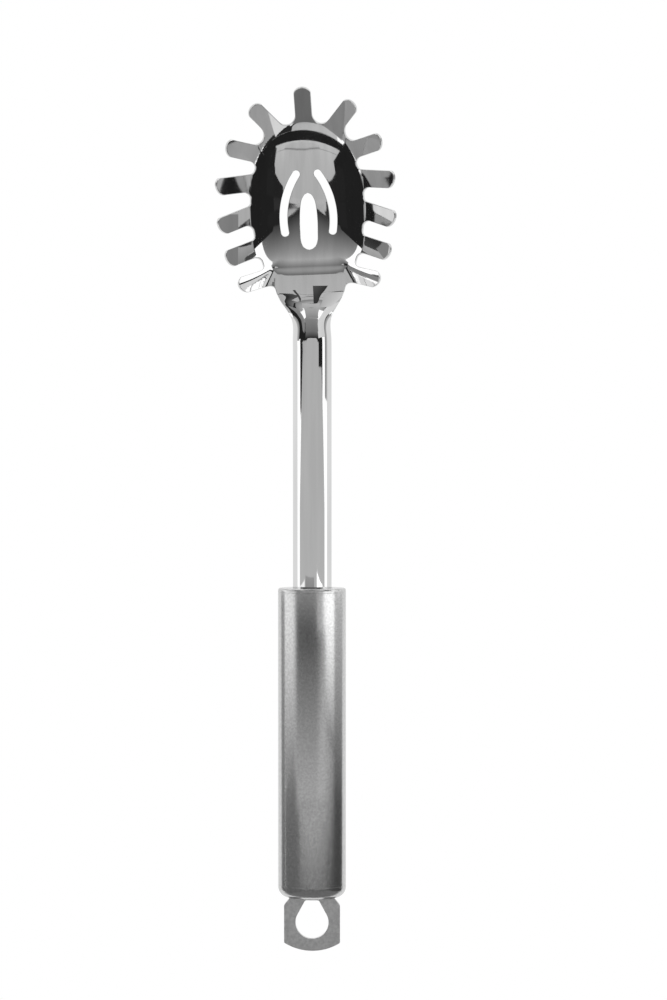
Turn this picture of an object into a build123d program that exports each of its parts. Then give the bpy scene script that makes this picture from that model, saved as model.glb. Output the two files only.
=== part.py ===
"""Pasta server in stainless steel: a toothed bowl on an arched shank, with a hollow oval handle and a hanging tab.

The bowl, its thirteen tines, the neck, the shank and the tang are one stamping. The handle is an oval tube closed
by a flat front cap and a domed rear cap. The shank enters through a slot in the front cap, and the hanging tab
leaves through a slot in the rear cap. Nothing on the tool moves.

The tool lies face up on a table: +Y runs along it towards the head, +X to the right, +Z up. It rests on the bottom
of the bowl and on the rear end of the handle. The origin is on the table, under the middle of the whole tool.
"""
from build123d import *
import math
import os

# hollow handle
handle_width = 25.9
handle_thickness = 17.0
handle_wall = 0.8
tube_length = 112.0
front_cap_thickness = 1.6
front_cap_bevel = 0.6
rear_cap_rise = 4.8
rear_cap_round = 4.2
cap_wall = 1.0
cap_floor = 1.8
cap_spigot = 4.0
spigot_gap = 0.15
slot_gap = 0.25

# sheet of the whole stamping, and the arch that stiffens its shank
sheet = 1.2
shank_half_width = 7.45
shank_crown = 5.2
shank_reach = 94.0
tang_length = 34.0

# bowl, measured from the deepest point of its inner face
bowl_drop = 13.8
bowl_station = 53.5
bowl_radius = 36.0
rim_half_width = 21.5
rim_front_reach = 29.5
rim_rear_reach = 25.7
blank_rear_reach = 41.0
head_skew = 2.25

# neck plateau, which leaves the bowl at a crease and carries the rearmost tines on its rising sides
crease_station = 25.0
crease_blend = 1.6
plateau_slope = 14.0
plateau_half_width = 12.0
plateau_flare = 26.6
plateau_wall_round = 4.0
plateau_wall_slope = 45.0
pressed_rear = 35.0
pressed_rear_half_width = 12.9

# tines
tine_width = 6.5
tine_length = 13.0
tine_slope = 47.0
tine_bend = 5.0
tine_root_round = 2.0
front_notch_round = 3.5
widest_plain_notch = 25.0

# neck between the pressed head and the shank: its first section starts inside the pressed sheet
neck_lap = 1.0
neck_inset = 0.06
neck_first_crown = 0.3

# drain slots
centre_slot_half_width = 3.35
centre_slot_front = 3.9
centre_slot_rear = 18.1
centre_slot_tip_round = 1.3
side_slot_width = 2.9
side_slot_half_span = 9.15
side_slot_length = 25.1

# hanging tab
tab_width = 21.4
tab_neck_width = 16.6
tab_thickness = 1.6
tab_reach = 20.6
tab_end_bow = 3.1
tab_shoulder = 3.0
tab_root = 10.0
tab_corner_round = 0.8
tab_shoulder_round = 1.5
hole_radius = 6.3
hole_centre = 9.6
hole_top_width = 5.2
hole_top = 1.2
hole_corner_round = 0.9

# points that carry the pressed faces: their spacing, the reach over which the slope at one is taken, and how near to
# them the faces run
surface_step = 2.4
slope_reach = 0.05
surface_tolerance = 0.03

# reach of every cut past what it opens
overrun = 1.0

# each row is a tine: its turn from the head's axis in degrees, its root as shares of the rim's half width and front
# reach, and its length as a share of tine_length; every tine but the first has a twin on the other side
tine_shares = (
    (0.0, 0.0, 1.0, 0.95),
    (45.5, 0.458, 0.888, 0.985),
    (80.2, 0.785, 0.62, 0.95),
    (101.0, 0.963, 0.266, 0.99),
    (115.4, 0.986, -0.139, 1.01),
    (114.5, 0.875, -0.556, 1.0),
    (108.4, 0.718, -0.956, 0.89),
)

# sections of the neck between the pressed head and the shank, as shares of the way back, of the narrowing, of the
# arching and of the climb
neck_shares = (
    (0.0, 0.0, 0.0, 0.0),
    (0.164, 0.25, 0.15, 0.107),
    (0.37, 0.71, 0.5, 0.4),
    (0.564, 0.99, 0.8, 0.68),
    (1.0, 1.0, 1.0, 1.0),
)

# radius of the tine's round end as a share of its width
tip_round_share = 0.515

# radius of the handle's two tight sides as a share of its thickness
tight_arc_share = 0.365

# the centre slot's right side, as shares of its half width and of its length from the front
bullet_shares = ((0.73, 0.12), (1.0, 0.5), (0.93, 0.84))

# the right side slot's centreline, as shares of its half span and of its length from the front
side_slot_shares = ((0.45, 0.0), (0.9, 0.38), (1.0, 1.0))
side_slot_front_share = 0.5

handle_front = rear_cap_rise + tube_length + front_cap_thickness
bend_station = handle_front + shank_reach
half_thickness = handle_thickness / 2
skew = math.radians(head_skew)
slope_of_tines = math.radians(tine_slope)
slope_of_plateau = math.radians(plateau_slope)
slope_of_plateau_wall = math.radians(plateau_wall_slope)
front_tine_reach = tine_length * tine_shares[0][3]

# the tool tips forward until the bowl's underside is as low as the rear end of the tube
rest_tilt = math.atan2(bowl_drop + sheet - half_thickness, bend_station + bowl_station - rear_cap_rise)
front_end = bend_station + (bowl_station + rim_front_reach + front_tine_reach) * math.cos(skew)
tool = Plane(
    origin=(
        bowl_station * math.sin(skew),
        -(front_end - tab_reach) / 2 * math.cos(rest_tilt),
        half_thickness * math.cos(rest_tilt) - rear_cap_rise * math.sin(rest_tilt),
    ),
    x_dir=(1, 0, 0),
    z_dir=(0, -math.sin(rest_tilt), math.cos(rest_tilt)),
)

# the head sits a little askew on the shank, turned about the bend of the neck
head = Plane(
    origin=tool.from_local_coords(
        (-bowl_station * math.sin(skew), bend_station + bowl_station * math.cos(skew), -bowl_drop)
    ),
    x_dir=tool.x_dir * math.cos(skew) + tool.y_dir * math.sin(skew),
    z_dir=tool.z_dir,
)


def across(station, plane=tool):
    """Plane square to the tool's length at a station, its local X to the right and its local Y up."""
    return Plane(origin=plane.from_local_coords((0, station, 0)), x_dir=plane.x_dir, z_dir=-plane.y_dir)


def flared(run, bend, slope_from, slope_to):
    """Height of a wall after a level run: an arc of radius bend between two slopes, then a straight wall."""
    turn = bend * (math.sin(slope_to) - math.sin(slope_from))
    if run <= 0:
        return 0.0
    if run < turn:
        return bend * (math.cos(slope_from) - math.sqrt(1 - (math.sin(slope_from) + run / bend) ** 2))
    return bend * (math.cos(slope_from) - math.cos(slope_to)) + (run - turn) * math.tan(slope_to)


def dish_height(distance):
    """Height of the bowl at a distance from its centre: a spherical floor, then tines bent up at the rim."""
    rim_slope = math.asin(rim_half_width / bowl_radius)
    floor = bowl_radius - math.sqrt(bowl_radius**2 - min(distance, rim_half_width) ** 2)
    return floor + flared(distance - rim_half_width, tine_bend, rim_slope, slope_of_tines)


def pressed_height(x, y):
    """Height of the pressed surface over the bowl's deepest point.

    The bowl is stretched to an ellipse in front of its centre and to a squarer oval behind it. Behind the crease a
    gently rising plateau with flared sides is lower than the bowl would be, and the two are blended.
    """
    if y > 0:
        return dish_height(math.hypot(x, y * rim_half_width / rim_front_reach))
    oval = (x**4 + (y * rim_half_width / rim_rear_reach) ** 4) ** 0.25
    bowl = dish_height(oval)
    behind = -y - crease_station
    level = dish_height(crease_station * rim_half_width / rim_rear_reach)
    edge = plateau_half_width + behind * math.tan(math.radians(plateau_flare))
    wall = flared(abs(x) - edge, plateau_wall_round, 0.0, slope_of_plateau_wall)
    plateau = level + max(behind, 0) * math.tan(slope_of_plateau) + wall
    closeness = max(1 - abs(bowl - plateau) / crease_blend, 0)
    return min(bowl, plateau) - closeness**2 * crease_blend / 4


def pressed_face(depth):
    """Face of the pressed sheet at a depth under its upper face, measured square to it."""
    reach_front = rim_front_reach + front_tine_reach + tine_width
    reach_rear = pressed_rear + tine_width / 2
    reach_side = rim_half_width + tine_length * 2
    columns = round(2 * reach_side / surface_step)
    rows = round((reach_rear + reach_front) / surface_step)
    points = []
    for row in range(rows + 1):
        y = row / rows * (reach_rear + reach_front) - reach_rear
        points.append([])
        for column in range(columns + 1):
            x = reach_side * (2 * column / columns - 1)
            height = pressed_height(x, y)
            slope = Vector(
                pressed_height(x + slope_reach, y) - pressed_height(x - slope_reach, y),
                pressed_height(x, y + slope_reach) - pressed_height(x, y - slope_reach),
            ) / (2 * slope_reach)
            down = Vector(slope.X, slope.Y, -1).normalized() * depth
            points[-1].append(head.from_local_coords((x + down.X, y + down.Y, height + down.Z)))
    return Face.make_surface_from_array_of_points(points, tol=surface_tolerance)


def arch_band(half_width, crown, thickness, top):
    """Section of the arched sheet: two concentric arcs and the square ends between them."""
    radius = (half_width**2 + crown**2) / (2 * crown)
    inner = 1 - thickness / radius
    centre = top - radius
    edge = top - crown
    with BuildLine() as band:
        outer_arc = ThreePointArc((-half_width, edge), (0, top), (half_width, edge))
        inner_arc = ThreePointArc(
            (-half_width * inner, centre + (edge - centre) * inner),
            (0, top - thickness),
            (half_width * inner, centre + (edge - centre) * inner),
        )
        Line(outer_arc @ 0, inner_arc @ 0)
        Line(outer_arc @ 1, inner_arc @ 1)
    make_face(band.edges())


def tine_places():
    """Each tine's root, outward direction and length, counter-clockwise from the rear right one."""
    right = []
    for turn, side_share, front_share, length_share in reversed(tine_shares):
        root = Vector(side_share * rim_half_width, front_share * rim_front_reach)
        outwards = Vector(math.sin(math.radians(turn)), math.cos(math.radians(turn)))
        right.append((root, outwards, tine_length * length_share))
    left = [(Vector(-root.X, root.Y), Vector(-out.X, out.Y), length) for root, out, length in reversed(right[:-1])]
    return right + left


def on_rim(point, outwards):
    """Where a line through a point, along a tine, meets the rim: half an ellipse in front, half a longer one behind."""
    reach = rim_front_reach if point.Y > 0 else blank_rear_reach
    place = Vector(point.X / rim_half_width, point.Y / reach)
    step = Vector(outwards.X / rim_half_width, outwards.Y / reach)
    along = place.dot(step)
    run = (math.sqrt(along**2 - step.length**2 * (place.length**2 - 1)) - along) / step.length**2
    return point + outwards * run


def oval(inset=0.0, mode=Mode.ADD):
    """Section of the handle, or of a space inside it: two wide arcs and two tight ones, tangent to each other."""
    tight = handle_thickness * tight_arc_share
    end = handle_width / 2 - tight
    wide = (end**2 + half_thickness**2 - tight**2) / (2 * (half_thickness - tight))
    half_sweep = math.degrees(math.atan2(wide - half_thickness, end))
    with BuildLine() as rim:
        for hand, side in ((1, 0), (-1, 180)):
            CenterArc((hand * end, 0), tight - inset, side - half_sweep, 2 * half_sweep)
            CenterArc((0, hand * (half_thickness - wide)), wide - inset, side + half_sweep, 180 - 2 * half_sweep)
    make_face(rim.edges(), mode=mode)


def side_of(place, hand):
    """Point on a tine's side abreast of its root: hand 1 is its left side, looking outwards, and -1 its right."""
    root, outwards, length = place
    return root + Vector(-outwards.Y, outwards.X) * hand * tine_width / 2


def notch(this, following):
    """Corners of the blank between a tine and the next one on its left.

    Tines that spread widely meet in one corner, and the others leave a piece of the rim between two corners.
    """
    left = side_of(this, 1)
    right = side_of(following, -1)
    spread = this[1].cross(following[1]).Z
    if spread > math.sin(math.radians(widest_plain_notch)):
        return [left + this[1] * ((right - left).cross(following[1]).Z / spread)]
    return [on_rim(left, this[1]), on_rim(right, following[1])]


def tine_end(place):
    """Plane on the sheet's upper face at the middle of a tine's round end, its local X along the tine."""
    root, outwards, length = place
    tip = root + outwards * length
    near = tip - outwards * tine_width / 2
    rise = math.atan2(pressed_height(tip.X, tip.Y) - pressed_height(near.X, near.Y), tine_width / 2)
    middle = tip - outwards * tine_width * tip_round_share * math.cos(rise)
    origin = head.from_local_coords((middle.X, middle.Y, pressed_height(middle.X, middle.Y)))
    level = head.x_dir * outwards.X + head.y_dir * outwards.Y
    return Plane(
        origin=origin,
        x_dir=level * math.cos(rise) + head.z_dir * math.sin(rise),
        z_dir=head.z_dir * math.cos(rise) - level * math.sin(rise),
    )


# one stamping: pressed head, arched neck, shank and tang
rear_edge = [Vector(hand * pressed_rear_half_width, -pressed_rear) for hand in (-1, 1)]
places = tine_places()
notches = [notch(this, following) for this, following in zip(places, places[1:])]
first_root = on_rim(side_of(places[0], -1), places[0][1])
last_root = on_rim(side_of(places[-1], 1), places[-1][1])
outline = [rear_edge[1], first_root]
for place, corners in zip(places, [*notches, [last_root]]):
    outline += [side_of(place, hand) + place[1] * (place[2] + overrun) for hand in (-1, 1)]
    outline += corners
outline.append(rear_edge[0])
single = [corners[0] for corners in notches if len(corners) == 1]
paired = [first_root, last_root] + [corner for corners in notches if len(corners) == 2 for corner in corners]

with BuildPart() as head_and_shank:
    with BuildSketch(head.offset(-bowl_drop)) as blank:
        with BuildLine():
            Polyline(*outline, close=True)
        make_face()
        for corners, radius in ((single, front_notch_round), (paired, tine_root_round)):
            fillet([min(blank.vertices(), key=lambda v: (Vector(v) - corner).length) for corner in corners], radius)

        # drain slots: a bullet in the middle and a bowed slot on each side of it
        with BuildSketch(mode=Mode.SUBTRACT) as slots:
            with BuildLine():
                length = centre_slot_front + centre_slot_rear
                for hand in (-1, 1):
                    shoulder, widest, tail = (
                        (hand * wide * centre_slot_half_width, centre_slot_front - back * length)
                        for wide, back in bullet_shares
                    )
                    ThreePointArc((0, centre_slot_front), shoulder, widest)
                    Line(widest, tail)
                ThreePointArc(tail, (0, -centre_slot_rear), (-tail[0], tail[1]))
            make_face()
            fillet(slots.vertices().sort_by(Axis.Y)[-1], centre_slot_tip_round)
            for hand in (-1, 1):
                run = side_slot_length - side_slot_width
                bow = [
                    (hand * wide * side_slot_half_span, (side_slot_front_share - back) * run)
                    for wide, back in side_slot_shares
                ]
                SlotArc(ThreePointArc(*bow, mode=Mode.PRIVATE), side_slot_width)
    extrude(amount=3 * bowl_drop)
    for depth, kept in ((0.0, 0), (sheet, -1)):
        split(bisect_by=pressed_face(depth), keep=Keep.BOTH)
        add(head_and_shank.solids().sort_by(Axis.Z)[kept], mode=Mode.REPLACE)

    # full-round tine ends, cut square to the sheet
    for place in places:
        with BuildSketch(tine_end(place)):
            with Locations((tine_width / 2, 0)):
                Rectangle(tine_width, tine_width + overrun)
            Circle(tine_width * tip_round_share, mode=Mode.SUBTRACT)
    extrude(amount=3 * sheet, both=True, mode=Mode.SUBTRACT)

    # neck, arched more and more towards the shank, then the shank and the tang inside the handle
    first_station = neck_lap - pressed_rear
    first_half_width = pressed_rear_half_width - neck_inset
    first_top = pressed_height(0, first_station) - neck_inset
    for back, narrowing, arching, climb in neck_shares[:-1]:
        with BuildSketch(across(first_station - back * (bowl_station + first_station), head)):
            arch_band(
                first_half_width + narrowing * (shank_half_width - first_half_width),
                neck_first_crown + arching * (shank_crown - neck_first_crown),
                sheet - 2 * neck_inset * (1 - climb),
                first_top + climb * (bowl_drop + shank_crown / 2 - first_top),
            )
    with BuildSketch(across(bend_station)):
        arch_band(shank_half_width, shank_crown, sheet, shank_crown / 2)
    loft()
    with BuildSketch(across(bend_station)):
        arch_band(shank_half_width, shank_crown, sheet, shank_crown / 2)
    extrude(amount=shank_reach + tang_length)

# hollow oval handle
with BuildPart() as handle_tube:
    with BuildSketch(across(rear_cap_rise + tube_length)):
        oval()
        oval(handle_wall, Mode.SUBTRACT)
    extrude(amount=tube_length)

# flat cap with an arched slot that the shank passes through
with BuildPart() as front_cap:
    with BuildSketch(across(handle_front)):
        oval()
    extrude(amount=front_cap_thickness)
    chamfer(front_cap.edges().group_by(Axis.Y)[-1], front_cap_bevel)
    with BuildSketch(across(handle_front - front_cap_thickness)):
        oval(handle_wall + spigot_gap)
        oval(handle_wall + spigot_gap + cap_wall, Mode.SUBTRACT)
    extrude(amount=cap_spigot)
    with BuildSketch(across(handle_front + overrun)):
        arch_band(shank_half_width, shank_crown, sheet, shank_crown / 2)
        offset(amount=slot_gap, kind=Kind.INTERSECTION)
    extrude(amount=front_cap_thickness + 2 * overrun, mode=Mode.SUBTRACT)

# domed cup with a flat slot that the hanging tab passes through
with BuildPart() as rear_cap:
    with BuildSketch(across(rear_cap_rise)):
        oval()
    extrude(amount=rear_cap_rise)

    # the dome is round as seen from above and as seen from the side
    for face_up, half in ((tool.z_dir, handle_width / 2), (tool.x_dir, half_thickness)):
        with BuildSketch(Plane(origin=tool.origin, x_dir=tool.y_dir, z_dir=face_up)):
            with Locations((rear_cap_rise, 0)):
                corners = Rectangle(2 * rear_cap_rise, 2 * half).vertices().group_by(Axis.X)[0]
            fillet(corners, rear_cap_round)
        extrude(amount=handle_width, both=True, mode=Mode.INTERSECT)
    with BuildSketch(across(rear_cap_rise + cap_spigot)):
        oval(handle_wall + spigot_gap)
    extrude(amount=cap_spigot)
    with BuildSketch(across(rear_cap_rise + cap_spigot + overrun)):
        oval(handle_wall + spigot_gap + cap_wall)
    extrude(amount=cap_spigot + rear_cap_rise - cap_floor + overrun, mode=Mode.SUBTRACT)
    with BuildSketch(across(cap_floor + overrun)):
        Rectangle(tab_neck_width + 2 * slot_gap, tab_thickness + 2 * slot_gap)
    extrude(amount=cap_floor + 2 * overrun, mode=Mode.SUBTRACT)

# hanging tab, a flat plate whose root reaches into the handle
with BuildPart() as hanging_tab:
    with BuildSketch(tool.offset(-tab_thickness / 2)) as tab:
        with BuildLine():
            edge_of_bow = tab_end_bow - tab_reach
            ThreePointArc((-tab_width / 2, edge_of_bow), (0, -tab_reach), (tab_width / 2, edge_of_bow))
            for hand in (-1, 1):
                Polyline(
                    (hand * tab_width / 2, edge_of_bow),
                    (hand * tab_width / 2, -tab_shoulder),
                    (hand * tab_neck_width / 2, 0),
                    (hand * tab_neck_width / 2, tab_root),
                    (0, tab_root),
                )
        make_face()
        fillet(tab.vertices().group_by(Axis.Y)[0], tab_corner_round)
        fillet(tab.vertices().filter_by(lambda v: abs(v.Y + tab_shoulder) < tab_corner_round), tab_shoulder_round)
        with BuildSketch(mode=Mode.PRIVATE) as teardrop:
            with BuildLine():
                CenterArc((0, -hole_centre), hole_radius, 0, 360)
                Line((-hole_top_width / 2, -hole_top), (hole_top_width / 2, -hole_top))
            make_hull()
            fillet(teardrop.vertices().group_by(Axis.Y)[-1], hole_corner_round)
        add(teardrop.sketch, mode=Mode.SUBTRACT)
    extrude(amount=tab_thickness)

head_and_shank.part.label = "head and shank"
handle_tube.part.label = "handle tube"
front_cap.part.label = "front cap"
rear_cap.part.label = "rear cap"
hanging_tab.part.label = "hanging tab"

os.makedirs("parts", exist_ok=True)
export_step(head_and_shank.part, "parts/head_and_shank.step")
export_step(handle_tube.part, "parts/handle_tube.step")
export_step(front_cap.part, "parts/front_cap.step")
export_step(rear_cap.part, "parts/rear_cap.step")
export_step(hanging_tab.part, "parts/hanging_tab.step")
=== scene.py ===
"""Looks of a stainless-steel pasta server: polished toothed bowl and shank, brushed oval handle, satin tab.

Every size is in millimetres and every angle in degrees, until a mesh is written in metres in the part's own
frame. The pressed head, the caps and the tab are all plates: a plan outline with rounded edges, laid on a
curved surface.
"""

import logging
import math
from collections.abc import Callable, Sequence
from dataclasses import dataclass, field
from enum import Enum

import bpy
import numpy as np
from bpy.types import Material, Node, NodeSocket, NodeTree, Object, World
from mathutils import Matrix, Vector
from mathutils.geometry import delaunay_2d_cdt

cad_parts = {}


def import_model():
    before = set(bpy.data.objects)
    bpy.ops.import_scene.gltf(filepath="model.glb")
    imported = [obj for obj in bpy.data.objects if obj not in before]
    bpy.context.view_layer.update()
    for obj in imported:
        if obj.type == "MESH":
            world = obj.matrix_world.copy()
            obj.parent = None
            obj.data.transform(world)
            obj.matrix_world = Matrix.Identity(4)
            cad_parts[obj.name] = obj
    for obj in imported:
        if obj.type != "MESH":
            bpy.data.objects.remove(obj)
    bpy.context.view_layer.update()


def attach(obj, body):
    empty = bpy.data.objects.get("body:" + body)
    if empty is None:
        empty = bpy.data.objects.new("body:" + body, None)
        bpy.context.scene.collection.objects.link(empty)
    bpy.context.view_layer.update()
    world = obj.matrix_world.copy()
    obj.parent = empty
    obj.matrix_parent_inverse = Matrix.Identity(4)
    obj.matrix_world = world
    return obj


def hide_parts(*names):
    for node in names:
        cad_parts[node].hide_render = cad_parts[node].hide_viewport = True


LOG = logging.getLogger("pasta_server")
MM = 0.001
Surface = Callable[[np.ndarray], np.ndarray]
Span = tuple[float, float]
# Radius of a corner that isn't rounded.
SHARP = 0.0
# Keeps a division by a length or a rise of nothing from failing.
TINY = 1e-12
# Plan points tested in one array, so that the tables of distances stay small.
POINTS_AT_ONCE = 1000


class Slot(Enum):
    """Material slots of the record."""

    HEAD = "polished_head"
    HANDLE = "brushed_handle"
    TAB = "satin_tab"


# small geometry helpers


def unit(vectors: np.ndarray) -> np.ndarray:
    """Vectors scaled to length one, along the last axis."""
    return vectors / np.maximum(np.linalg.norm(vectors, axis=-1, keepdims=True), TINY)


def turned(degrees: float) -> np.ndarray:
    """Plan direction turned clockwise from +Y by an angle."""
    angle = math.radians(degrees)
    return np.array([math.sin(angle), math.cos(angle)])


def left_of(direction: np.ndarray) -> np.ndarray:
    """Plan direction turned a quarter turn to the left."""
    return np.stack([-direction[..., 1], direction[..., 0]], axis=-1)


def on_circle(angle: np.ndarray) -> np.ndarray:
    """Points of a circle of radius one, at angles in radians counter-clockwise from +X."""
    return np.stack([np.cos(angle), np.sin(angle)], axis=-1)


def full_turn(count: int) -> np.ndarray:
    """Angles in radians, evenly spaced round one turn, with the first not repeated."""
    return np.linspace(0, 2 * math.pi, count, endpoint=False)


def arc_radius(half_chord: float | np.ndarray, rise: float | np.ndarray) -> float | np.ndarray:
    """Radius of an arc: the squares of half its chord and of its rise, added, over twice the rise."""
    return (half_chord**2 + rise**2) / (2 * rise)


def crossing(first: np.ndarray, along: np.ndarray, second: np.ndarray, other: np.ndarray) -> np.ndarray:
    """Point where a line through first meets a line through second."""
    run = np.cross(second - first, other) / np.cross(along, other)
    return first + along * run


def portions(count: int) -> list[np.ndarray]:
    """Numbers of many points, in portions small enough to be tested at once."""
    return np.array_split(np.arange(count), max(1, count // POINTS_AT_ONCE))


def rounded_loop(corners: Sequence[np.ndarray], radii: Sequence[float], spacing: float) -> np.ndarray:
    """Closed outline with rounded corners, its points no further apart than a spacing.

    Args:
        corners: the outline's corners in order.
        radii: the radius of each corner, or SHARP.
        spacing: the longest step between two points.

    Returns:
        The points, with the first not repeated.
    """
    fewest_steps = 3
    points = np.asarray(corners, float)
    before = unit(np.roll(points, 1, axis=0) - points)
    after = unit(np.roll(points, -1, axis=0) - points)
    pieces = []
    for corner, radius, back, ahead in zip(points, radii, before, after):
        if radius == SHARP:
            pieces.append(corner[None, :])
            continue
        half = math.acos(np.clip(back @ ahead, -1, 1)) / 2
        centre = corner + unit(back + ahead) * radius / math.sin(half)
        start = corner + back * radius / math.tan(half) - centre
        sweep = math.copysign(math.pi - 2 * half, np.cross(-back, ahead))
        steps = max(fewest_steps, math.ceil(radius * abs(sweep) / spacing))
        angle = np.linspace(0, sweep, steps + 1)[:, None]
        pieces.append(centre + start * np.cos(angle) + left_of(start) * np.sin(angle))
    loop = np.concatenate(pieces)
    ends = np.roll(loop, -1, axis=0)
    counts = np.maximum(np.ceil(np.linalg.norm(ends - loop, axis=1) / spacing).astype(int), 1)
    share = np.concatenate([np.arange(n) / n for n in counts])[:, None]
    return np.repeat(loop, counts, axis=0) * (1 - share) + np.repeat(ends, counts, axis=0) * share


def inset_loop(loop: np.ndarray, depth: float) -> np.ndarray:
    """Outline moved into the material: to the left of its run, mitred at the corners.

    Args:
        loop: the outline's points.
        depth: how far it moves.

    Returns:
        The moved points, as many as before.
    """
    sharpest_mitre = 0.5
    step = unit(np.roll(loop, -1, axis=0) - loop)
    inward = left_of(step)
    before = np.roll(inward, 1, axis=0)
    opening = np.maximum(1 + np.sum(inward * before, axis=1, keepdims=True), sharpest_mitre)
    return loop + depth * (inward + before) / opening


def inside(points: np.ndarray, loops: Sequence[np.ndarray]) -> np.ndarray:
    """Whether each point lies in the material: an odd number of outline crossings to its right.

    Args:
        points: the plan points.
        loops: the outline and the holes.

    Returns:
        True or false for each point.
    """
    odd = np.zeros(len(points), bool)
    for loop in loops:
        x0, y0 = loop.T
        x1, y1 = np.roll(loop, -1, axis=0).T
        for part in portions(len(points)):
            x, y = points[part, 0, None], points[part, 1, None]
            spans = (y0 > y) != (y1 > y)
            reach = x0 + (y - y0) * (x1 - x0) / np.where(y1 == y0, TINY, y1 - y0)
            odd[part] ^= (np.sum(spans & (x < reach), axis=1) % 2).astype(bool)
    return odd


def clear_of(points: np.ndarray, loops: Sequence[np.ndarray], distance: float) -> np.ndarray:
    """Whether each point is far enough from every outline point.

    Args:
        points: the plan points.
        loops: the outline and the holes.
        distance: the least distance.

    Returns:
        True or false for each point.
    """
    rim = np.concatenate(loops)
    clear = np.ones(len(points), bool)
    for part in portions(len(points)):
        gaps = np.linalg.norm(points[part, None, :] - rim[None, :, :], axis=2)
        clear[part] = gaps.min(axis=1) > distance
    return clear


def square_to(surface: Surface, plan: np.ndarray) -> np.ndarray:
    """Unit normals of a surface: the cross product of its two slopes over a short reach.

    Args:
        surface: the surface over plan points.
        plan: the points where the normals are wanted.

    Returns:
        One normal a point.
    """
    reach = 0.01
    across = surface(plan + (reach, 0)) - surface(plan - (reach, 0))
    along = surface(plan + (0, reach)) - surface(plan - (0, reach))
    return unit(np.cross(across, along))


def smooth_through(stations: Sequence[float], values: Sequence[float], at: np.ndarray) -> np.ndarray:
    """Cubic curve through values: each slope is the mean of its neighbours', and the end is level.

    Args:
        stations: where the values stand, rising.
        values: the values there.
        at: where the curve is wanted.

    Returns:
        The curve's values.
    """
    s, v = np.asarray(stations, float), np.asarray(values, float)
    chord = np.diff(v) / np.diff(s)
    slope = np.concatenate([chord[:1], (chord[:-1] + chord[1:]) / 2, [0.0]])
    at = np.clip(at, s[0], s[-1])
    i = np.clip(np.searchsorted(s, at, side="right") - 1, 0, len(s) - 2)
    gap = s[i + 1] - s[i]
    t = (at - s[i]) / gap
    start = (1 + 2 * t) * (1 - t) ** 2 * v[i] + t * (1 - t) ** 2 * gap * slope[i]
    return start + t**2 * (3 - 2 * t) * v[i + 1] - t**2 * (1 - t) * gap * slope[i + 1]


def write_mesh(name: str, points: np.ndarray, faces: list, normals: np.ndarray) -> Object:
    """Add an object with a smooth mesh.

    Args:
        name: the object's name.
        points: its points in millimetres.
        faces: three or four point numbers a face.
        normals: one normal a point.

    Returns:
        The new object, at the origin.
    """
    mesh = bpy.data.meshes.new(name)
    mesh.from_pydata((points * MM).tolist(), [], faces)
    mesh.polygons.foreach_set("use_smooth", np.ones(len(mesh.polygons), bool))
    mesh.normals_split_custom_set_from_vertices(normals.tolist())
    mesh.update()
    piece = bpy.data.objects.new(name, mesh)
    bpy.context.scene.collection.objects.link(piece)
    return piece


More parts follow.
